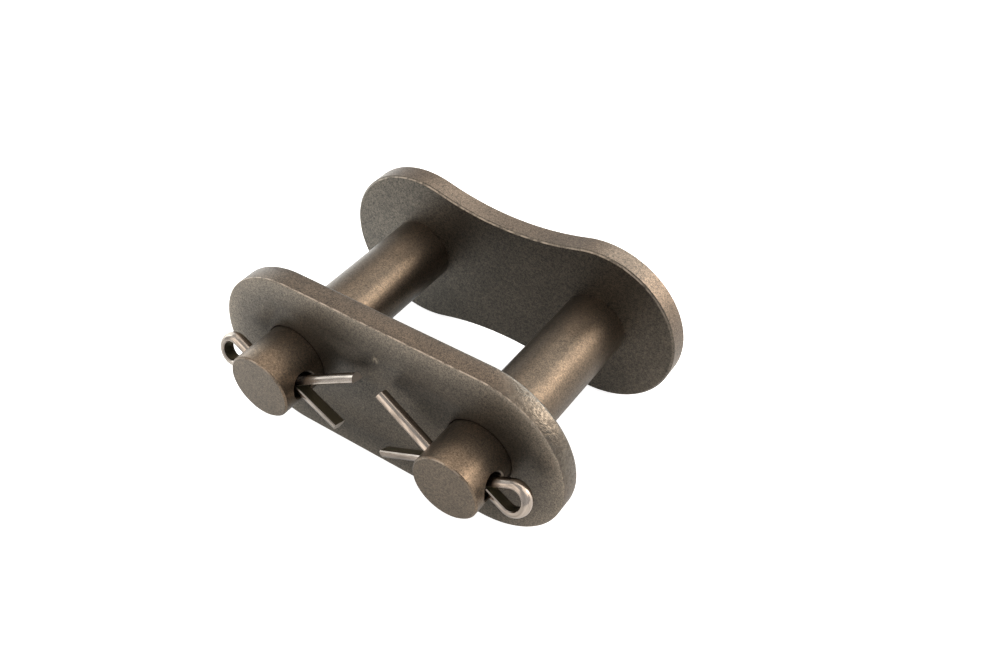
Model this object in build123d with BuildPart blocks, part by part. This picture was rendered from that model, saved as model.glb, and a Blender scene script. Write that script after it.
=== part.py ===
from build123d import *
from math import cos, hypot, radians, sin, sqrt, tan
import os

os.makedirs("parts", exist_ok=True)

# Connecting link of a one-strand roller chain, closed by split pins.
# Units are millimetres. +X runs along the pitch, +Y from the detachable plate
# to the riveted plate, and +Z is up. The origin is on the left pin's axis,
# midway between the two plates.

# Chain sizes
pitch = 31.75
pin_diameter = 10.19
gap_between_plates = 26.4
plate_height = 26.2
waist_height = 21.7
front_plate_thickness = 3.4
rear_plate_thickness = 3.4
plate_edge_chamfer = 0.3

# Fit of the detachable plate on the pins
slip_clearance = 0.05
hole_edge_chamfer = 0.3

# Ends of the bearing pins
pin_stub_length = 7.65
pin_end_chamfer = 0.25
rivet_head_height = 1.8
rivet_head_spread = 0.5
rivet_side_height = 0.5
rivet_flat_diameter = 6.4
rivet_crown_radius = 2.95

# Split pin wire, a D with its flat side turned inwards
wire_radius = 1.085
wire_flat_offset = 0.1
wire_corner_chamfer = 0.15
shank_gap = 0.1
eye_inner_radius = 1.45
neck_angle = 21.7
neck_inside_radius = 0.15
leg_bend_inside_radius = 0.3

# Cross holes for the split pins
cross_hole_clearance = 1.53
cross_hole_from_plate = 3.8
cross_hole_chamfer = 0.2

# Each split pin as it was pushed in, bent open and turned by hand. The neck and
# the bend of the legs start at these depths below the sides of the bearing pin.
left_neck_depth = 1.1
left_bend_depth = 1.1
left_turn_angle = 18.7
left_upper_angle = 27.3
left_upper_length = 10.2
left_lower_angle = 19.4
left_lower_length = 7.8

right_neck_depth = 1.0
right_bend_depth = 0.7
right_turn_angle = 24.3
right_upper_angle = 22.9
right_upper_length = 10.2
right_lower_angle = 20.1
right_lower_length = 7.5

# Sizes that follow
pin_radius = pin_diameter / 2
plate_radius = plate_height / 2
waist_half = waist_height / 2
half_pitch = pitch / 2
half_gap = gap_between_plates / 2
front_face_y = -half_gap - front_plate_thickness
rear_face_y = half_gap + rear_plate_thickness
pin_front_y = front_face_y - pin_stub_length
wire_depth = wire_radius + wire_flat_offset
cross_hole_diameter = 2 * wire_depth + shank_gap + cross_hole_clearance
cross_hole_y = front_face_y - cross_hole_from_plate


def waisted_outline():
    """Two round ends about the pins, joined by a hollow arc above and below."""
    waist_radius = (half_pitch**2 + waist_half**2 - plate_radius**2) / (2 * (plate_radius - waist_half))
    waist_centre_z = waist_half + waist_radius
    reach = hypot(half_pitch, waist_centre_z)
    touch_x = plate_radius * half_pitch / reach
    touch_z = plate_radius * waist_centre_z / reach
    left_top = (touch_x, touch_z)
    left_bottom = (touch_x, -touch_z)
    right_top = (pitch - touch_x, touch_z)
    right_bottom = (pitch - touch_x, -touch_z)
    with BuildLine() as outline:
        ThreePointArc(left_bottom, (-plate_radius, 0), left_top)
        ThreePointArc(left_top, (half_pitch, waist_half), right_top)
        ThreePointArc(right_top, (pitch + plate_radius, 0), right_bottom)
        ThreePointArc(right_bottom, (half_pitch, -waist_half), left_bottom)
    return outline.line


# Riveted plate: waisted, punched from strip, with both pins pressed in
with BuildPart() as rear_plate:
    with BuildSketch(Plane.XZ.offset(-rear_face_y)):
        with BuildLine():
            add(waisted_outline())
        make_face()
    extrude(amount=rear_plate_thickness)
    chamfer(rear_plate.faces().filter_by(Axis.Y).edges(), plate_edge_chamfer)
    with BuildSketch(Plane.XZ.offset(-rear_face_y)):
        with Locations((0, 0), (pitch, 0)):
            Circle(pin_radius)
    extrude(amount=rear_plate_thickness, mode=Mode.SUBTRACT)
rear_plate.part.label = "rear_plate"
export_step(rear_plate.part, "parts/rear_plate.step")

# Detachable plate: straight-sided, a slip fit over the pins
slip_hole_radius = pin_radius + slip_clearance
with BuildPart() as front_plate:
    with BuildSketch(Plane.XZ.offset(half_gap)):
        with Locations((half_pitch, 0)):
            SlotCenterToCenter(pitch, plate_height)
    extrude(amount=front_plate_thickness)
    chamfer(front_plate.faces().filter_by(Axis.Y).edges(), plate_edge_chamfer)
    with BuildSketch(Plane.XZ.offset(half_gap)):
        with Locations((0, 0), (pitch, 0)):
            Circle(slip_hole_radius)
    extrude(amount=front_plate_thickness, mode=Mode.SUBTRACT)
    round_edges = front_plate.faces().filter_by(Axis.Y).edges().filter_by(GeomType.CIRCLE)
    hole_rims = round_edges.group_by(SortBy.RADIUS)[0]
    chamfer(hole_rims, hole_edge_chamfer)
front_plate.part.label = "front_plate"
export_step(front_plate.part, "parts/front_plate.step")

# Bearing pins: plain and chamfered in front, pressed in and riveted over behind
rivet_head_radius = pin_radius + rivet_head_spread
rivet_flat_radius = rivet_flat_diameter / 2
rivet_side_y = rear_face_y + rivet_side_height
rivet_top_y = rear_face_y + rivet_head_height
for name, pin_x in (("left_pin", 0), ("right_pin", pitch)):
    with BuildPart() as bearing_pin:
        with BuildSketch(Plane((pin_x, 0, 0))):
            with BuildLine():
                Polyline(
                    (rivet_flat_radius, rivet_top_y),
                    (0, rivet_top_y),
                    (0, pin_front_y),
                    (pin_radius - pin_end_chamfer, pin_front_y),
                    (pin_radius, pin_front_y + pin_end_chamfer),
                    (pin_radius, rear_face_y),
                    (rivet_head_radius, rear_face_y),
                    (rivet_head_radius, rivet_side_y),
                )
                RadiusArc(
                    (rivet_head_radius, rivet_side_y),
                    (rivet_flat_radius, rivet_top_y),
                    -rivet_crown_radius,
                )
            make_face()
        revolve(axis=Axis((pin_x, 0, 0), (0, 1, 0)))
        with BuildSketch(Plane.YZ.offset(pin_x - pin_diameter)):
            with Locations((cross_hole_y, 0)):
                Circle(cross_hole_diameter / 2)
        extrude(amount=2 * pin_diameter, mode=Mode.SUBTRACT)
        cross_hole_rims = bearing_pin.edges(Select.LAST).filter_by(GeomType.LINE, reverse=True)
        chamfer(cross_hole_rims, cross_hole_chamfer)
    bearing_pin.part.label = name
    export_step(bearing_pin.part, f"parts/{name}.step")

# Split pins: one D-section wire, doubled back into an eye, its legs bent apart.
# In the wire's plane, u runs along the shank towards the eye and v is up. The
# path follows the flat side of the wire. From the shank, each half first runs
# outwards at the neck's angle, and then straight into the round of the eye.
flat_half = sqrt(wire_radius**2 - wire_flat_offset**2) - wire_corner_chamfer
side_half = sqrt(wire_radius**2 - (wire_corner_chamfer - wire_flat_offset) ** 2)
flat_v = shank_gap / 2
neck_radius = wire_depth + neck_inside_radius
neck_v = flat_v + neck_radius
neck_reach = neck_radius * sin(radians(neck_angle))
neck_end_v = neck_v - neck_radius * cos(radians(neck_angle))
eye_start_v = eye_inner_radius * cos(radians(neck_angle))
flare_reach = (eye_start_v - neck_end_v) / tan(radians(neck_angle))
eye_reach = eye_inner_radius * sin(radians(neck_angle))
eye_half_angle = 90 + neck_angle
leg_bend_radius = wire_depth + leg_bend_inside_radius
bend_v = flat_v + leg_bend_radius


def leg_points(bend_u, angle, length):
    """End of the bend and tip of a leg that is bent upwards."""
    bend_end = (
        bend_u - leg_bend_radius * sin(radians(angle)),
        bend_v - leg_bend_radius * cos(radians(angle)),
    )
    tip = (
        bend_end[0] - length * cos(radians(angle)),
        bend_end[1] + length * sin(radians(angle)),
    )
    return bend_end, tip


def mirrored(point):
    """The same point of the other half of the wire."""
    return point[0], -point[1]


split_pins = (
    ("left_split_pin", 0, -1, left_turn_angle, left_neck_depth, left_bend_depth,
     left_upper_angle, left_upper_length, left_lower_angle, left_lower_length),
    ("right_split_pin", pitch, 1, right_turn_angle, right_neck_depth, right_bend_depth,
     right_upper_angle, right_upper_length, right_lower_angle, right_lower_length),
)
for name, pin_x, outward, turn, neck_depth, bend_depth, up_angle, up_length, low_angle, low_length in split_pins:
    # The wire's plane holds the pitch direction and leans its top towards the plate.
    wire_plane = Plane(
        origin=(pin_x, cross_hole_y, 0),
        x_dir=(outward, 0, 0),
        z_dir=(0, -outward * cos(radians(turn)), outward * sin(radians(turn))),
    )
    bend_u = bend_depth - pin_radius
    neck_u = pin_radius - neck_depth
    neck_end = (neck_u + neck_reach, neck_end_v)
    eye_start = (neck_end[0] + flare_reach, eye_start_v)
    eye_u = eye_start[0] + eye_reach
    up_bend, up_tip = leg_points(bend_u, up_angle, up_length)
    low_bend, low_tip = leg_points(bend_u, low_angle, low_length)
    with BuildPart() as split_pin:
        with BuildLine(wire_plane) as wire:
            Line(up_tip, up_bend)
            CenterArc((bend_u, bend_v), leg_bend_radius, -90 - up_angle, up_angle)
            Line((bend_u, flat_v), (neck_u, flat_v))
            CenterArc((neck_u, neck_v), neck_radius, -90, neck_angle)
            Line(neck_end, eye_start)
            CenterArc((eye_u, 0), eye_inner_radius, eye_half_angle, -2 * eye_half_angle)
            Line(mirrored(eye_start), mirrored(neck_end))
            CenterArc((neck_u, -neck_v), neck_radius, 90 - neck_angle, neck_angle)
            Line((neck_u, -flat_v), (bend_u, -flat_v))
            CenterArc((bend_u, -bend_v), leg_bend_radius, 90, low_angle)
            Line(mirrored(low_bend), mirrored(low_tip))
        round_side = wire_plane.from_local_coords(
            Vector(sin(radians(up_angle)), cos(radians(up_angle)), 0)
        ) - wire_plane.origin
        section_plane = Plane(origin=wire.line @ 0, x_dir=round_side, z_dir=wire.line % 0)
        with BuildSketch(section_plane) as wire_section:
            with BuildLine():
                ThreePointArc(
                    (wire_corner_chamfer, -side_half),
                    (wire_depth, 0),
                    (wire_corner_chamfer, side_half),
                )
                Polyline(
                    (wire_corner_chamfer, side_half),
                    (0, flat_half),
                    (0, -flat_half),
                    (wire_corner_chamfer, -side_half),
                )
            make_face()
        sweep(path=wire.line)
    split_pin.part.label = name
    export_step(split_pin.part, f"parts/{name}.step")
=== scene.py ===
# %% [markdown]
# # A connecting link of a roller chain
# The link has two steel plates, two bearing pins and two split pins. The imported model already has
# every piece at its real size. This lesson gives each piece the surface of the real one: dark oiled
# plates with sheared edges, ground pins and bright drawn wire.

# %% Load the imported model
import bpy
from math import cos, hypot, radians, sin
from mathutils import Matrix, Vector


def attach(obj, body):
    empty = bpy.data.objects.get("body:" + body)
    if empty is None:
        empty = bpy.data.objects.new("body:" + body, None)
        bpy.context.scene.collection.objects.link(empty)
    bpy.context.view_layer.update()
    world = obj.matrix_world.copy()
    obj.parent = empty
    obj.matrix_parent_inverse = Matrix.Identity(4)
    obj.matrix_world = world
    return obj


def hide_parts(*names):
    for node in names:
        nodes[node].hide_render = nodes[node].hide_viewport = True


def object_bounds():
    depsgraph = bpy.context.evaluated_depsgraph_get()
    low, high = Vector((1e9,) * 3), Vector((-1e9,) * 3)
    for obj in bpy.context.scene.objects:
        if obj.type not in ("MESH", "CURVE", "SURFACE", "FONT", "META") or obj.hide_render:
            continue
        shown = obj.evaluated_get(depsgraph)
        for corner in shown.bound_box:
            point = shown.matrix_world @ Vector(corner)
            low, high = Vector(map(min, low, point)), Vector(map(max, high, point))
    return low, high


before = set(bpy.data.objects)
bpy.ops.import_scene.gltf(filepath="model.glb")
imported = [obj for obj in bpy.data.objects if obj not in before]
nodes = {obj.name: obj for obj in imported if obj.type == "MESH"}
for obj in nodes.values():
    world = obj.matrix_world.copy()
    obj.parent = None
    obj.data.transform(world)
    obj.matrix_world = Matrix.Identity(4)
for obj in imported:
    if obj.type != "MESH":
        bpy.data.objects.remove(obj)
cad_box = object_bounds()
print("nodes", sorted(nodes))
print("whole link", cad_box)

# %% [markdown]
# ## Camera
# The link is seen from its front right and from above. A camera on a long arm is easiest to describe by
# the point it looks at, the compass angle, the height angle and the distance.

# %% Place the camera
view_azimuth = radians(33.854)
view_elevation = radians(42.709)
view_roll = radians(0.324)
view_distance = 0.16161
view_target = Vector((0.01813, 0.00865, -0.00545))
lens_length = 37.778

towards_camera = Vector((
    sin(view_azimuth) * cos(view_elevation),
    -cos(view_azimuth) * cos(view_elevation),
    sin(view_elevation),
))
level_right = Vector((cos(view_azimuth), sin(view_azimuth), 0))
level_up = towards_camera.cross(level_right)
camera_right = level_right * cos(view_roll) + level_up * sin(view_roll)
camera_up = level_up * cos(view_roll) - level_right * sin(view_roll)

camera_data = bpy.data.cameras.new("camera")
camera_data.lens = lens_length
camera_data.clip_start = 0.005
camera_data.clip_end = 20
camera = bpy.data.objects.new("camera", camera_data)
bpy.context.scene.collection.objects.link(camera)
turn = Matrix((camera_right, camera_up, towards_camera)).transposed()
camera.matrix_world = Matrix.Translation(view_target + towards_camera * view_distance) @ turn.to_4x4()
bpy.context.scene.camera = camera
print("camera at", [round(x, 4) for x in camera.location])

# %% [markdown]
# ## Studio
# The link stands on its plates' lower edges on a pale floor under plain soft lamps. The floor and the
# world are white to the camera, and darker in reflections. The floor still takes the link's shadow. The
# Standard view transform keeps each colour as it is written.

# %% Plain view transform
view = bpy.context.scene.view_settings
view.view_transform = "Standard"
print("view transform", view.view_transform)

# %% Helpers for node trees


def new_material(name):
    """An empty node material with its output node."""
    material = bpy.data.materials.new(name)
    material.use_nodes = True
    material.node_tree.nodes.clear()
    output = material.node_tree.nodes.new("ShaderNodeOutputMaterial")
    return material, material.node_tree, output


def add_node(tree, kind, **values):
    """A node with its settings and its unlinked inputs set by name."""
    node = tree.nodes.new(kind)
    for key, value in values.items():
        if hasattr(node, key):
            setattr(node, key, value)
        else:
            node.inputs[key.replace("_", " ")].default_value = value
    return node


def math_node(tree, operation, first, second=0.0, clamp=False):
    """A maths node. Each input is a number or another node's output."""
    node = add_node(tree, "ShaderNodeMath", operation=operation, use_clamp=clamp)
    for socket, value in zip(node.inputs, (first, second)):
        if isinstance(value, (int, float)):
            socket.default_value = value
        else:
            tree.links.new(value, socket)
    return node.outputs[0]


def fade(tree, value, low, high, at_low=0.0, at_high=1.0):
    """Goes softly from one number to another while the value goes from low to high."""
    node = add_node(tree, "ShaderNodeMapRange", interpolation_type="SMOOTHSTEP")
    settings = {"From Min": low, "From Max": high, "To Min": at_low, "To Max": at_high}
    for socket_name, number in settings.items():
        node.inputs[socket_name].default_value = number
    tree.links.new(value, node.inputs["Value"])
    return node.outputs["Result"]


def split_vector(tree, vector):
    """The X, Y and Z outputs of a vector."""
    node = add_node(tree, "ShaderNodeSeparateXYZ")
    tree.links.new(vector, node.inputs[0])
    return node.outputs["X"], node.outputs["Y"], node.outputs["Z"]


def ray_kinds(tree):
    """Whether a ray comes from the camera, and whether it comes from a mirror or from glass."""
    ray = add_node(tree, "ShaderNodeLightPath")
    mirror = math_node(tree, "MAXIMUM", ray.outputs["Is Glossy Ray"], ray.outputs["Is Transmission Ray"])
    return ray.outputs["Is Camera Ray"], mirror


# %% [markdown]
# ## Floor
# Dark steel shows the floor as a dull mirror does. In that mirror, the floor is brightest at the left and
# behind the detachable plate, where the lamps reach it, and darker towards the right. So the glow that
# only mirrors see is a soft pool. A plain diffuse surface under it takes the shadow.

# %% Make the floor
link_middle = Vector((0.016, 0, 0))
floor_size = 3.0
floor_level = cad_box[0][2]
floor_grey = 0.8
floor_glow_seen = 0.86
floor_glow_mirrored = 0.335
mirrored_tint = (0.88, 1.0, 1.06)

bpy.ops.object.select_all(action="DESELECT")
bpy.ops.mesh.primitive_plane_add(size=floor_size, location=(link_middle.x, link_middle.y, floor_level))
floor = bpy.context.object
floor.name = "floor"
bpy.ops.object.transform_apply(location=True)
print("floor at", round(floor_level, 5))

# %% The pool of light that mirrors see
pool_from_x, pool_to_x = -0.03, 0.025
pool_right_share = 0.36
behind_from_y, behind_to_y = -0.018, 0.0
behind_from_x, behind_to_x = -0.016, 0.008
behind_gain = 1.3

floor_material, tree, output = new_material("pale_floor")
place = add_node(tree, "ShaderNodeTexCoord")
floor_x, floor_y, _ = split_vector(tree, place.outputs["Object"])
pool = fade(tree, floor_x, pool_from_x, pool_to_x, 1.0, pool_right_share)
behind = fade(tree, floor_y, behind_from_y, behind_to_y, 0.0, behind_gain)
at_left = fade(tree, floor_x, behind_from_x, behind_to_x, 1.0, 0.0)
behind_pool = math_node(tree, "MULTIPLY", behind, at_left)
pool = math_node(tree, "MULTIPLY", pool, math_node(tree, "ADD", behind_pool, 1.0))
print("pool falls to", pool_right_share, "at the right, and is", 1 + behind_gain, "times as bright behind")

# %% Put the floor together
camera_ray, mirror = ray_kinds(tree)
mirrored = math_node(tree, "MULTIPLY", mirror, math_node(tree, "MULTIPLY", pool, floor_glow_mirrored))
seen = math_node(tree, "MULTIPLY", camera_ray, floor_glow_seen)
glow = add_node(tree, "ShaderNodeEmission")
tree.links.new(math_node(tree, "ADD", mirrored, seen), glow.inputs["Strength"])
tint = add_node(tree, "ShaderNodeMix", data_type="RGBA")
tint.inputs[6].default_value = (1, 1, 1, 1)
tint.inputs[7].default_value = (*mirrored_tint, 1)
tree.links.new(mirror, tint.inputs[0])
tree.links.new(tint.outputs[2], glow.inputs["Color"])
floor_diffuse = add_node(tree, "ShaderNodeBsdfDiffuse", Color=(floor_grey, floor_grey, floor_grey, 1))
both = add_node(tree, "ShaderNodeAddShader")
tree.links.new(floor_diffuse.outputs[0], both.inputs[0])
tree.links.new(glow.outputs[0], both.inputs[1])
tree.links.new(both.outputs[0], output.inputs["Surface"])
floor.data.materials.append(floor_material)

# %% World
world_seen = 1.0
world_mirrored = 0.6
world_fill = 0.4

world = bpy.data.worlds.new("studio")
world.use_nodes = True
bpy.context.scene.world = world
tree = world.node_tree
tree.nodes.clear()
output = tree.nodes.new("ShaderNodeOutputWorld")
camera_ray, mirror = ray_kinds(tree)
in_mirror = math_node(tree, "MULTIPLY", mirror, world_mirrored - world_fill)
in_view = math_node(tree, "MULTIPLY", camera_ray, world_seen - world_fill)
strength = math_node(tree, "ADD", math_node(tree, "ADD", in_mirror, in_view), world_fill)
surround = add_node(tree, "ShaderNodeBackground", Color=(1, 1, 1, 1))
tree.links.new(strength, surround.inputs["Strength"])
tree.links.new(surround.outputs[0], output.inputs["Surface"])
print("world", world_seen, "seen,", world_mirrored, "mirrored,", world_fill, "fill")

# %% [markdown]
# ## Lamps
# The photo has one warm key light behind the link at the right, which draws the long highlights on both
# pins. Large soft lamps all round fill in the rest, warm from the front and above, and neutral from
# behind and from the left.

# %% Soft lamps
lamp_distance = 0.6
warm = (1.0, 0.88, 0.76)
neutral = (0.96, 1.0, 1.0)
lamps = (
    ("key", (0.64, 0.61, 0.50), 0.30, 1.27, warm),
    ("low_key", (0.75, 0.62, 0.25), 0.4, 0.70, warm),
    ("top", (-0.2, 0.35, 0.9), 0.5, 0.90, warm),
    ("right", (0.6, 0.2, 0.75), 0.5, 1.0, warm),
    ("front", (-0.35, -0.8, 0.6), 0.5, 0.95, warm),
    ("back", (0.1, 0.95, 0.35), 0.5, 3.0, neutral),
    ("left", (-0.92, 0.12, 0.29), 0.5, 1.35, neutral),
)
for name, direction, size, power, colour in lamps:
    lamp_data = bpy.data.lights.new(name, "AREA")
    lamp_data.shape = "SQUARE"
    lamp_data.size = size
    lamp_data.energy = power
    lamp_data.color = colour
    lamp = bpy.data.objects.new(name, lamp_data)
    bpy.context.scene.collection.objects.link(lamp)
    away = Vector(direction).normalized()
    lamp.location = link_middle + away * lamp_distance
    lamp.rotation_euler = away.to_track_quat("Z", "Y").to_euler()
    print("lamp", name, size, "m,", power, "W")

# %% [markdown]
# ## The detachable plate with its rolled edge
# A link plate is punched from strip, and then tumbled with others until its corners are worn round. On
# the side where the punch entered, the face also rolls down a little towards the outline. The packed
# plate has plain chamfers. A plate with the worn corner and the rolled border takes its place here.

# %% Sizes of the plate
pitch = 0.03175
plate_height = 0.0262
plate_front = -0.0166
plate_back = -0.0132
slip_hole_radius = 0.005145
plate_thickness = plate_back - plate_front
plate_middle = (plate_front + plate_back) / 2
end_segments = 160
hole_segments = 96
same_place = 1e-6
print("plate", pitch, "by", plate_height, "by", round(plate_thickness, 5))

# %% A straight-sided outline round two discs
# The skin around two equal discs is the plate's outline, and its flat faces are joined to one each.
flat_within = radians(0.5)
bpy.ops.object.select_all(action="DESELECT")
for disc_x in (0, pitch):
    bpy.ops.mesh.primitive_cylinder_add(
        vertices=end_segments,
        radius=plate_height / 2,
        depth=plate_thickness,
        location=(disc_x, plate_middle, 0),
        rotation=(radians(90), 0, 0),
    )
left_disc = bpy.data.objects["Cylinder"]
left_disc.select_set(True)
bpy.ops.object.join()
plate = bpy.context.object
plate.name = "rolled_plate"
bpy.ops.object.transform_apply(location=True, rotation=True, scale=True)
bpy.ops.object.mode_set(mode="EDIT")
bpy.ops.mesh.select_all(action="SELECT")
bpy.ops.mesh.convex_hull()
bpy.ops.mesh.select_all(action="SELECT")
bpy.ops.mesh.dissolve_limited(angle_limit=flat_within)
bpy.ops.object.mode_set(mode="OBJECT")
print("outline faces", len(plate.data.polygons))

# %% Helpers that select by place


def deselect_all(mesh):
    """Clears the selection of every vertex, edge and face."""
    for part in (mesh.vertices, mesh.edges, mesh.polygons):
        part.foreach_set("select", [False] * len(part))


def select_face_at(mesh, y):
    """Selects the flat face that lies at this y."""
    deselect_all(mesh)
    for polygon in mesh.polygons:
        if abs(polygon.center.y - y) < same_place and abs(polygon.normal.y) > 0.99:
            polygon.select = True


def axis_distance(point):
    """Distance from the nearer pin's axis."""
    return min(hypot(point.x, point.z), hypot(point.x - pitch, point.z))


# %% Roll the border of the outer face
# Each step goes in from the outline by the first number and rises by the second one, in millimetres. The
# first three are the worn corner, and the others are the soft border.
rolled_steps = (
    (0.04, 0.06),
    (0.06, 0.05),
    (0.10, 0.04),
    (0.35, 0.020),
    (0.50, 0.015),
    (0.70, 0.010),
    (0.90, 0.005),
)
roll_depth = sum(rise for _, rise in rolled_steps) / 1000
select_face_at(plate.data, plate_front)
bpy.ops.object.mode_set(mode="EDIT")
bpy.ops.mesh.select_mode(type="FACE")
bpy.ops.transform.translate(value=(0, roll_depth, 0))
for inset, rise in rolled_steps:
    bpy.ops.mesh.inset(thickness=inset / 1000, depth=0, use_even_offset=True)
    bpy.ops.transform.translate(value=(0, -rise / 1000, 0))
bpy.ops.object.mode_set(mode="OBJECT")
print("rolled down by", roll_depth)

# %% Round the inner edge
back_edge_radius = 0.0005
select_face_at(plate.data, plate_back)
bpy.ops.object.mode_set(mode="EDIT")
bpy.ops.mesh.select_mode(type="FACE")
bpy.ops.mesh.region_to_loop()
bpy.ops.mesh.bevel(offset=back_edge_radius, segments=4, profile=0.5)
bpy.ops.object.mode_set(mode="OBJECT")
print("faces with both edges shaped", len(plate.data.polygons))

# %% Two slip holes
# A hole is a cylinder taken away.
drill_length = 0.01
for hole_x in (0, pitch):
    bpy.ops.object.select_all(action="DESELECT")
    bpy.ops.mesh.primitive_cylinder_add(
        vertices=hole_segments,
        radius=slip_hole_radius,
        depth=drill_length,
        location=(hole_x, plate_middle, 0),
        rotation=(radians(90), 0, 0),
    )
    drill = bpy.context.object
    bpy.ops.object.select_all(action="DESELECT")
    plate.select_set(True)
    bpy.context.view_layer.objects.active = plate
    cut = plate.modifiers.new("hole", "BOOLEAN")
    cut.operation = "DIFFERENCE"
    cut.solver = "EXACT"
    cut.object = drill
    bpy.ops.object.modifier_apply(modifier=cut.name)
    bpy.data.objects.remove(drill)
print("faces with both holes", len(plate.data.polygons))

# %% Break the rims of the holes
hole_rim_radius = 0.00025
rim_search = 2e-5
deselect_all(plate.data)
for edge in plate.data.edges:
    ends = [plate.data.vertices[i].co for i in edge.vertices]
    on_rim = all(abs(axis_distance(end) - slip_hole_radius) < rim_search for end in ends)
    if on_rim and abs(ends[0].y - ends[1].y) < same_place:
        edge.select = True
bpy.ops.object.mode_set(mode="EDIT")
bpy.ops.mesh.select_mode(type="EDGE")
bpy.ops.mesh.bevel(offset=hole_rim_radius, segments=2, profile=0.5)
bpy.ops.object.mode_set(mode="OBJECT")

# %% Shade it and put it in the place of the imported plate
smooth_limit = radians(35)
bpy.ops.object.select_all(action="DESELECT")
plate.select_set(True)
bpy.context.view_layer.objects.active = plate
bpy.ops.object.shade_smooth_by_angle(angle=smooth_limit)
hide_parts("front_plate")
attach(plate, "detachable_plate")
print("new plate", [round(x, 5) for x in plate.dimensions], len(plate.data.polygons), "faces")

# %% [markdown]
# ## Finishes
# All dark pieces are steel that was blasted and tumbled, and then tempered and oiled. Such a surface has
# grains of about a fifth of a millimetre, some golden brown and some grey, under broad soft clouds of
# oil. Both come from noises in the piece's own coordinates, so they ride with it. They are node groups
# that put out masks only, and each finish places them with its own values.

# %% Helpers for finishes


def new_group(name, inputs, outputs):
    """A shader node group. Inputs are (name, kind, default), outputs are (name, kind)."""
    group = bpy.data.node_groups.new(name, "ShaderNodeTree")
    for socket_name, kind, default in inputs:
        socket = group.interface.new_socket(socket_name, in_out="INPUT", socket_type=kind)
        socket.default_value = default
    for socket_name, kind in outputs:
        group.interface.new_socket(socket_name, in_out="OUTPUT", socket_type=kind)
    return group, group.nodes.new("NodeGroupInput"), group.nodes.new("NodeGroupOutput")


def place_group(tree, group, **values):
    """A group placed in a material, with its inputs set by name."""
    node = tree.nodes.new("ShaderNodeGroup")
    node.node_tree = group
    for key, value in values.items():
        node.inputs[key.replace("_", " ")].default_value = value
    return node


def noise(tree, vector, scale, detail, roughness):
    """A noise read at a vector. The scale is a number or another node's output."""
    node = add_node(tree, "ShaderNodeTexNoise", Detail=detail, Roughness=roughness)
    tree.links.new(vector, node.inputs["Vector"])
    if isinstance(scale, float):
        node.inputs["Scale"].default_value = scale
    else:
        tree.links.new(scale, node.inputs["Scale"])
    return node.outputs["Fac"]


def mix_colours(tree, mask, first, second, blend="MIX"):
    """Mixes two colours by a mask. Each may be a number, a colour or a node's output."""
    mix = add_node(tree, "ShaderNodeMix", data_type="RGBA", blend_type=blend)
    for socket, value in zip((mix.inputs[0], mix.inputs[6], mix.inputs[7]), (mask, first, second)):
        if isinstance(value, (int, float)):
            socket.default_value = value
        elif isinstance(value, tuple):
            socket.default_value = (*value, 1)
        else:
            tree.links.new(value, socket)
    return mix.outputs[2]


def tinted(tree, colour, tint):
    """A colour times another one."""
    return mix_colours(tree, 1.0, colour, tint, blend="MULTIPLY")


def shaded(tree, colour, mask, at_zero, at_one):
    """A colour times a number that goes from the first to the second with the mask."""
    spread = math_node(tree, "MULTIPLY", mask, at_one - at_zero)
    return tinted(tree, colour, math_node(tree, "ADD", spread, at_zero))


# %% Grain group
# Tone is 0 for a dark grain and 1 for a bright one. Wider grains, at a little less than half the number
# per metre, have a little less than half the strength of the fine ones.
wide_number = 0.45
wide_strength = 0.45
clouds_per_metre = 180.0

grain_group, inside, outside = new_group(
    "blasted_grain",
    (("Grains per metre", "NodeSocketFloat", 5000.0), ("Contrast", "NodeSocketFloat", 1.0)),
    (("Tone", "NodeSocketFloat"), ("Cloud", "NodeSocketFloat")),
)
place = add_node(grain_group, "ShaderNodeTexCoord").outputs["Object"]
wide_scale = math_node(grain_group, "MULTIPLY", inside.outputs["Grains per metre"], wide_number)
fine = noise(grain_group, place, inside.outputs["Grains per metre"], 2.0, 0.7)
wide = noise(grain_group, place, wide_scale, 2.0, 0.6)
cloud = noise(grain_group, place, clouds_per_metre, 3.0, 0.6)
fine = math_node(grain_group, "SUBTRACT", fine, 0.5)
wide = math_node(grain_group, "MULTIPLY", math_node(grain_group, "SUBTRACT", wide, 0.5), wide_strength)
grains = math_node(grain_group, "ADD", fine, wide)
grains = math_node(grain_group, "MULTIPLY", grains, inside.outputs["Contrast"])
tone = math_node(grain_group, "ADD", grains, 0.5, clamp=True)
grain_group.links.new(tone, outside.inputs["Tone"])
grain_group.links.new(fade(grain_group, cloud, 0.35, 0.65), outside.inputs["Cloud"])
print("group", grain_group.name, len(grain_group.nodes), "nodes")

# %% [markdown]
# ## Worn corners with a painted highlight
# Where two faces meet, handling has rubbed the dark skin off, and a thin bright line is left. It is also a
# painted highlight, where a round corner would catch the lamps above. Its place is read from the piece
# itself. The normal of a corner face is neither along Y nor square to it, and the face lies near one Y
# value. The line fades where the corner looks sideways or down, because the painted highlight keeps to the
# side that faces the lamps, and noise breaks it into chips.

# %% Worn corner group, with its painted highlight
chips_per_metre = 900.0

corner_group, inside, outside = new_group(
    "worn_corner_and_highlight",
    (("Line Y", "NodeSocketFloat", 0.0), ("Half width", "NodeSocketFloat", 0.00012)),
    (("Mask", "NodeSocketFloat"),),
)
texture = add_node(corner_group, "ShaderNodeTexCoord")
_, normal_y, normal_z = split_vector(corner_group, texture.outputs["Normal"])
_, point_y, _ = split_vector(corner_group, texture.outputs["Object"])
along = math_node(corner_group, "ABSOLUTE", normal_y)
not_side = fade(corner_group, along, 0.15, 0.40)
not_flat = fade(corner_group, along, 0.995, 0.95)
off_line = math_node(corner_group, "SUBTRACT", point_y, inside.outputs["Line Y"])
off_line = math_node(corner_group, "ABSOLUTE", off_line)
off_line = math_node(corner_group, "DIVIDE", off_line, inside.outputs["Half width"])
near_line = fade(corner_group, off_line, 1.3, 0.7)
print("chips", round(1000 / chips_per_metre, 1), "mm")
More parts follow.
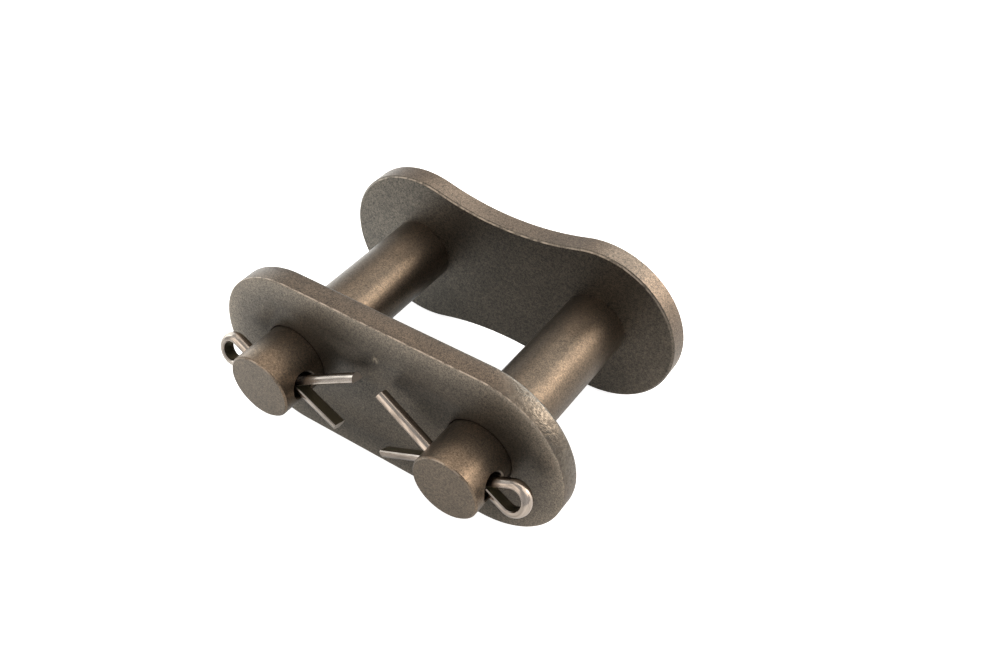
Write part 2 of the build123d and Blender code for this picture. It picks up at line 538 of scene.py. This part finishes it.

# %% The painted highlight only where the corner looks up at the lamps
squared = math_node(corner_group, "MULTIPLY", along, along)
level = math_node(corner_group, "SQRT", math_node(corner_group, "SUBTRACT", 1.0, squared))
level = math_node(corner_group, "MAXIMUM", level, 0.01)
toward_lamps = fade(corner_group, math_node(corner_group, "DIVIDE", normal_z, level), 0.2, 1.0)
chips = noise(corner_group, texture.outputs["Object"], chips_per_metre, 4.0, 0.7)
mask = math_node(corner_group, "MULTIPLY", not_side, not_flat)
for part in (near_line, toward_lamps, fade(corner_group, chips, 0.36, 0.60)):
    mask = math_node(corner_group, "MULTIPLY", mask, part)
corner_group.links.new(mask, outside.inputs["Mask"])
print("group", corner_group.name, len(corner_group.nodes), "nodes")

# %% [markdown]
# ## Dark steel
# A grain changes three things at once: its colour, its roughness and its height. The oil lies over all of
# it as a thin coat that is rougher than a varnish.

# %% Skin and shader of the dark steel
grains_per_metre = 5500.0
grain_shades = (0.45, 1.55)
cloud_shades = (0.93, 1.07)
grain_depth = 0.000012
bump_strength = 0.6
roughness_spread = 0.14
oil_coat = 0.35
oil_roughness = 0.45
worn_and_highlight_colour = (0.30, 0.25, 0.20)


def blasted_skin(tree, gold, grey, contrast):
    """Grains of two colours under clouds of oil. It gives the colour and the grain's tone."""
    grain = place_group(tree, grain_group, Grains_per_metre=grains_per_metre, Contrast=contrast)
    skin = mix_colours(tree, grain.outputs["Tone"], grey, gold)
    skin = shaded(tree, skin, grain.outputs["Cloud"], *cloud_shades)
    return shaded(tree, skin, grain.outputs["Tone"], *grain_shades), grain.outputs["Tone"]


def finish_steel(tree, output, skin, tone, roughness):
    """The shader of the dark steel, with the grain in its roughness and its bumps."""
    rough = math_node(tree, "MULTIPLY", tone, -roughness_spread)
    rough = math_node(tree, "ADD", rough, roughness + roughness_spread / 2)
    bump = add_node(tree, "ShaderNodeBump", Strength=bump_strength, Distance=grain_depth)
    surface = add_node(
        tree, "ShaderNodeBsdfPrincipled", Metallic=1.0, Coat_Weight=oil_coat, Coat_Roughness=oil_roughness
    )
    tree.links.new(skin, surface.inputs["Base Color"])
    tree.links.new(rough, surface.inputs["Roughness"])
    tree.links.new(tone, bump.inputs["Height"])
    tree.links.new(bump.outputs["Normal"], surface.inputs["Normal"])
    tree.links.new(surface.outputs[0], output.inputs["Surface"])


print("grain", round(1000 / grains_per_metre, 2), "mm")

# %% [markdown]
# ## The bearing pins
# The pins are turned, hardened and ground, and tempering gave their barrels a warmer brown than their end
# faces have. The last millimetres in front are painted brighter, a painted highlight where the key lamp
# reaches past the detachable plate.

# %% Finish of the pins
pin_gold = (0.126, 0.100, 0.072)
pin_grey = (0.105, 0.090, 0.070)
pin_contrast = 1.9
pin_roughness = 0.38
pin_line_half_width = 0.00009
pin_end_y = -0.0242
end_highlight_from_y, end_highlight_to_y = -0.0195, -0.0230
end_highlight_tint = (1.46, 1.42, 1.38)
barrel_tint = (1.03, 0.965, 0.93)
end_tint = (0.88, 0.88, 0.90)

pin_steel, tree, output = new_material("pin_steel")
skin, tone = blasted_skin(tree, pin_gold, pin_grey, pin_contrast)
texture = add_node(tree, "ShaderNodeTexCoord")
_, point_y, _ = split_vector(tree, texture.outputs["Object"])
_, normal_y, _ = split_vector(tree, texture.outputs["Normal"])
# The front end of each pin gets a painted highlight, up to half as bright again.
painted_end_highlight = fade(tree, point_y, end_highlight_from_y, end_highlight_to_y)
skin = mix_colours(tree, painted_end_highlight, skin, tinted(tree, skin, end_highlight_tint))
on_end = fade(tree, math_node(tree, "ABSOLUTE", normal_y), 0.85, 0.95)
skin = mix_colours(tree, on_end, tinted(tree, skin, barrel_tint), tinted(tree, skin, end_tint))
corner = place_group(tree, corner_group, Line_Y=pin_end_y, Half_width=pin_line_half_width)
# The worn line on the pin's front rim is also a painted highlight.
skin = mix_colours(tree, corner.outputs["Mask"], skin, worn_and_highlight_colour)
finish_steel(tree, output, skin, tone, pin_roughness)
print("finish", pin_steel.name)

# %% [markdown]
# ## The plates
# A plate's sides were sheared by the punch, so they are a little warmer and redder than its faces. On
# the riveted plate they are also painted brighter, and on the detachable plate a little darker: painted
# light and shade. The worn line with its painted highlight
# lies on the corner that stands out: the inner corner of the riveted plate, and the outer one of the
# detachable plate.

# %% Helpers for the plates
plate_gold = (0.118, 0.098, 0.076)
plate_grey = (0.103, 0.091, 0.075)
plate_contrast = 2.4
plate_roughness = 0.46
plate_line_half_width = 0.00008
side_tint = (1.09, 0.985, 0.92)


def plate_skin(tree, texture, side_light):
    """Grains with warmer sides, which the side light paints brighter or darker. It gives the colour, the
    tone and the mask of the sides.
    """
    skin, tone = blasted_skin(tree, plate_gold, plate_grey, plate_contrast)
    _, normal_y, _ = split_vector(tree, texture.outputs["Normal"])
    on_side = fade(tree, math_node(tree, "ABSOLUTE", normal_y), 0.5, 0.2)
    side_tint_and_light = tuple(side_light * part for part in side_tint)
    return mix_colours(tree, on_side, skin, tinted(tree, skin, side_tint_and_light)), tone, on_side


def finish_plate(tree, output, skin, tone, line_y, line_gain):
    """The worn line with its painted highlight on one corner, and the shader."""
    corner = place_group(tree, corner_group, Line_Y=line_y, Half_width=plate_line_half_width)
    worn_and_highlight = tuple(line_gain * part for part in worn_and_highlight_colour)
    skin = mix_colours(tree, corner.outputs["Mask"], skin, worn_and_highlight)
    finish_steel(tree, output, skin, tone, plate_roughness)


# %% Finish of the riveted plate
rear_corner_y = 0.01328
# The riveted plate's sides are painted a quarter brighter: painted light.
rear_side_light = 1.25
rear_line_gain = 1.2

rear_steel, tree, output = new_material("rear_plate_steel")
texture = add_node(tree, "ShaderNodeTexCoord")
skin, tone, _ = plate_skin(tree, texture, rear_side_light)
finish_plate(tree, output, skin, tone, rear_corner_y, rear_line_gain)
print("finish", rear_steel.name)

# %% [markdown]
# The detachable plate has three marks more. Its outer face is painted brighter near the outline, a painted
# highlight where the rolled border catches the lamps. Below the upper edge it has a painted glint and a
# painted shadow of a leg of the left split pin, and a few dark specks. And at its right end the strip tore
# before the punch was through, so that side is a coarse pale fracture.

# %% Painted highlight on the border of the detachable plate
# The detachable plate's sides are painted a little darker: painted shade.
front_side_light = 0.95
border_inside, border_outside = 0.0042, 0.0006
border_highlight_gain = 2.0

front_steel, tree, output = new_material("front_plate_steel")
texture = add_node(tree, "ShaderNodeTexCoord")
place = texture.outputs["Object"]
skin, tone, on_side = plate_skin(tree, texture, front_side_light)
point_x, _, point_z = split_vector(tree, place)
_, normal_y, _ = split_vector(tree, texture.outputs["Normal"])
nearest = math_node(tree, "MINIMUM", math_node(tree, "MAXIMUM", point_x, 0.0), pitch)
beside = math_node(tree, "SUBTRACT", point_x, nearest)
squares = math_node(
    tree, "ADD", math_node(tree, "MULTIPLY", beside, beside), math_node(tree, "MULTIPLY", point_z, point_z)
)
from_axis = math_node(tree, "SQRT", squares)
border_from = plate_height / 2 - border_inside
border_to = plate_height / 2 + border_outside
near_outline = fade(tree, from_axis, border_from, border_to)
# On the outer face near the outline the colour is painted up to twice as bright: a painted highlight of
# the rolled border.
border_highlight = math_node(tree, "MULTIPLY", near_outline, fade(tree, normal_y, -0.3, -0.8))
skin = shaded(tree, skin, border_highlight, 1.0, border_highlight_gain)
print("border_highlight", round(1000 * border_inside, 1), "mm wide")

# %% Painted glint, painted shadow and dark specks
glint_at = (0.01521, plate_front, 0.00752)
glint_radius = 0.0008
glint_colour = (0.34, 0.29, 0.22)
leg_shadow_at = (0.01400, plate_front, 0.00650)
leg_shadow_radius = 0.0022
specks_at = (0.01280, plate_front, 0.00140)
specks_radius = 0.0024
glint_and_speck_noise_per_metre = 2600.0


def spot(tree, place, centre, radius):
    """A soft round mask about a point."""
    away = add_node(tree, "ShaderNodeVectorMath", operation="DISTANCE")
    tree.links.new(place, away.inputs[0])
    away.inputs[1].default_value = centre
    return fade(tree, away.outputs["Value"], radius, radius * 0.3)


glint_and_speck_noise = noise(tree, place, glint_and_speck_noise_per_metre, 2.0, 0.6)
# A painted shadow of a leg of the left split pin darkens the face near the glint.
skin = shaded(tree, skin, spot(tree, place, leg_shadow_at, leg_shadow_radius), 1.0, 0.72)
near_specks = spot(tree, place, specks_at, specks_radius)
specks = math_node(tree, "MULTIPLY", near_specks, fade(tree, glint_and_speck_noise, 0.56, 0.62))
skin = shaded(tree, skin, specks, 1.0, 0.35)
# A painted glint, a reflection of that leg's tip, is a small bright spot on the face.
near_glint = spot(tree, place, glint_at, glint_radius)
painted_glint = math_node(tree, "MULTIPLY", near_glint, fade(tree, glint_and_speck_noise, 0.44, 0.52))
skin = mix_colours(tree, painted_glint, skin, glint_colour)
print("nick at", glint_at)

# %% Torn fracture, and the rest of the finish
lumps_per_metre = 1800.0
lump_height = 4.0
front_corner_y = -0.01642
front_line_gain = 1.6
torn_dark = (0.080, 0.067, 0.053)
torn_pale = (0.148, 0.128, 0.104)

torn = math_node(tree, "MULTIPLY", fade(tree, point_x, pitch + 0.001, pitch + 0.006), on_side)
torn = math_node(tree, "MULTIPLY", torn, fade(tree, point_z, -0.001, 0.004))
lumps = fade(tree, noise(tree, place, lumps_per_metre, 3.0, 0.65), 0.33, 0.67)
skin = mix_colours(tree, torn, skin, mix_colours(tree, lumps, torn_dark, torn_pale))
raised = math_node(tree, "MULTIPLY", torn, math_node(tree, "MULTIPLY", lumps, lump_height))
tone = math_node(tree, "ADD", tone, raised)
finish_plate(tree, output, skin, tone, front_corner_y, front_line_gain)
print("finish", front_steel.name, len(tree.nodes), "nodes")

# %% [markdown]
# ## Bright wire
# Split pins are folded from drawn wire of a D section, so fine streaks from the die run along the wire.
# Each wire lies in one plane, and a point of its section keeps its distance from that plane all the
# way round the eye. So a noise that is read at that distance makes streaks that follow every bend. The
# flat sides face the other leg and the inside of the eye, and are painted dark and olive: painted shade.
# The tips were cut off by shears and are bright and rough.

# %% Streaks along the wire
streaks_per_metre = 4200.0
streak_drift = 0.07

wire_group, inside, outside = new_group(
    "wire_marks",
    (
        ("Pin X", "NodeSocketFloat", 0.0),
        ("Outward", "NodeSocketFloat", 1.0),
        ("Plane normal", "NodeSocketVector", (0, 0, 0)),
    ),
    (("Streak", "NodeSocketFloat"), ("Shaded flat side", "NodeSocketFloat"), ("Cut tip", "NodeSocketFloat")),
)
texture = add_node(wire_group, "ShaderNodeTexCoord")
point_x, point_y, point_z = split_vector(wire_group, texture.outputs["Object"])


def dot_product(tree, first, second):
    """The dot product of two vectors."""
    node = add_node(tree, "ShaderNodeVectorMath", operation="DOT_PRODUCT")
    tree.links.new(first, node.inputs[0])
    tree.links.new(second, node.inputs[1])
    return node.outputs["Value"]


def join_vector(tree, *parts):
    """A vector from its X, Y and Z outputs."""
    node = add_node(tree, "ShaderNodeCombineXYZ")
    for socket, part in zip(node.inputs, parts):
        tree.links.new(part, socket)
    return node.outputs[0]


off_plane = dot_product(wire_group, texture.outputs["Object"], inside.outputs["Plane normal"])
drift_x = math_node(wire_group, "MULTIPLY", point_x, streak_drift)
drift_z = math_node(wire_group, "MULTIPLY", point_z, streak_drift)
streak_place = join_vector(wire_group, off_plane, drift_x, drift_z)
streaks = noise(wire_group, streak_place, streaks_per_metre, 3.0, 0.6)
wire_group.links.new(fade(wire_group, streaks, 0.32, 0.68), outside.inputs["Streak"])
print("streaks", round(1000 / streaks_per_metre, 2), "mm apart")

# %% Painted shade on the flat sides
# On a flat side the normal lies in the wire's plane, and looks at the middle of the eye or at a point
# between the legs. Places along X are counted from the pin's axis towards the eye.
cross_hole_y = -0.0204
eye_centre = 0.0087
leg_centre = -0.0160

reach = math_node(wire_group, "SUBTRACT", point_x, inside.outputs["Pin X"])
reach = math_node(wire_group, "MULTIPLY", reach, inside.outputs["Outward"])
at_eye = math_node(wire_group, "GREATER_THAN", reach, 0.0)
centre = math_node(wire_group, "MULTIPLY", at_eye, eye_centre - leg_centre)
centre = math_node(wire_group, "ADD", centre, leg_centre)
from_centre = math_node(wire_group, "SUBTRACT", reach, centre)
from_centre = math_node(wire_group, "MULTIPLY", from_centre, inside.outputs["Outward"])
from_hole_y = math_node(wire_group, "SUBTRACT", point_y, cross_hole_y)
from_centre = join_vector(wire_group, from_centre, from_hole_y, point_z)
looks_out = dot_product(wire_group, from_centre, texture.outputs["Normal"])
faces_in = math_node(wire_group, "LESS_THAN", looks_out, 0.0)
tilt = dot_product(wire_group, texture.outputs["Normal"], inside.outputs["Plane normal"])
in_plane = fade(wire_group, math_node(wire_group, "ABSOLUTE", tilt), 0.25, 0.15)
shaded_flat_side = math_node(wire_group, "MULTIPLY", in_plane, faces_in)
print("eye's middle", round(1000 * eye_centre, 1), "mm from the pin's axis")

# %% Cut tips
# A cut tip looks along the leg, away from the eye.
leg_tips = -0.0130

normal_x, _, _ = split_vector(wire_group, texture.outputs["Normal"])
along_leg = math_node(wire_group, "MULTIPLY", normal_x, inside.outputs["Outward"])
near_tips = fade(wire_group, reach, leg_tips + 0.004, leg_tips)
cut_tip = math_node(wire_group, "MULTIPLY", fade(wire_group, along_leg, -0.70, -0.80), near_tips)
no_tip = math_node(wire_group, "SUBTRACT", 1.0, cut_tip)
wire_group.links.new(cut_tip, outside.inputs["Cut tip"])
wire_group.links.new(math_node(wire_group, "MULTIPLY", shaded_flat_side, no_tip), outside.inputs["Shaded flat side"])
print("group", wire_group.name, len(wire_group.nodes), "nodes")

# %% Two wires
streak_shades = (0.62, 1.22)
flat_side_shade_colour = (0.23, 0.215, 0.16)
tip_colour = (0.62, 0.56, 0.50)


def bright_wire(name, pin_x, outward, turn_angle, colour, roughness):
    """Drawn wire with streaks, painted shade on the flat sides and bright cut tips."""
    material, tree, output = new_material(name)
    marks = place_group(tree, wire_group, Pin_X=pin_x, Outward=outward)
    plane_normal = (0, -outward * cos(radians(turn_angle)), outward * sin(radians(turn_angle)))
    marks.inputs["Plane normal"].default_value = plane_normal
    streak, shaded_flat_side, cut_tip = (marks.outputs[key] for key in ("Streak", "Shaded flat side", "Cut tip"))
    skin = shaded(tree, colour, streak, *streak_shades)
    # The flat sides take a dark painted shade.
    skin = mix_colours(tree, shaded_flat_side, skin, flat_side_shade_colour)
    skin = mix_colours(tree, cut_tip, skin, tip_colour)
    rough = math_node(tree, "ADD", math_node(tree, "MULTIPLY", streak, -0.08), roughness + 0.04)
    for mask, more in ((cut_tip, 0.30), (shaded_flat_side, 0.15)):
        rough = math_node(tree, "ADD", rough, math_node(tree, "MULTIPLY", mask, more))
    surface = add_node(tree, "ShaderNodeBsdfPrincipled", Metallic=1.0)
    tree.links.new(skin, surface.inputs["Base Color"])
    tree.links.new(rough, surface.inputs["Roughness"])
    tree.links.new(surface.outputs[0], output.inputs["Surface"])
    return material


left_turn_angle = 18.7
right_turn_angle = 24.3
left_wire = bright_wire("left_wire_steel", 0.0, -1.0, left_turn_angle, (0.46, 0.405, 0.355), 0.24)
right_wire = bright_wire("right_wire_steel", pitch, 1.0, right_turn_angle, (0.42, 0.365, 0.32), 0.21)
print("finishes", left_wire.name, right_wire.name)

# %% Put the finishes on
finishes = {
    nodes["rear_plate"]: rear_steel,
    nodes["left_pin"]: pin_steel,
    nodes["right_pin"]: pin_steel,
    nodes["left_split_pin"]: left_wire,
    nodes["right_split_pin"]: right_wire,
    plate: front_steel,
}
for piece, finish in finishes.items():
    piece.data.materials.clear()
    piece.data.materials.append(finish)
    print(piece.name, finish.name)
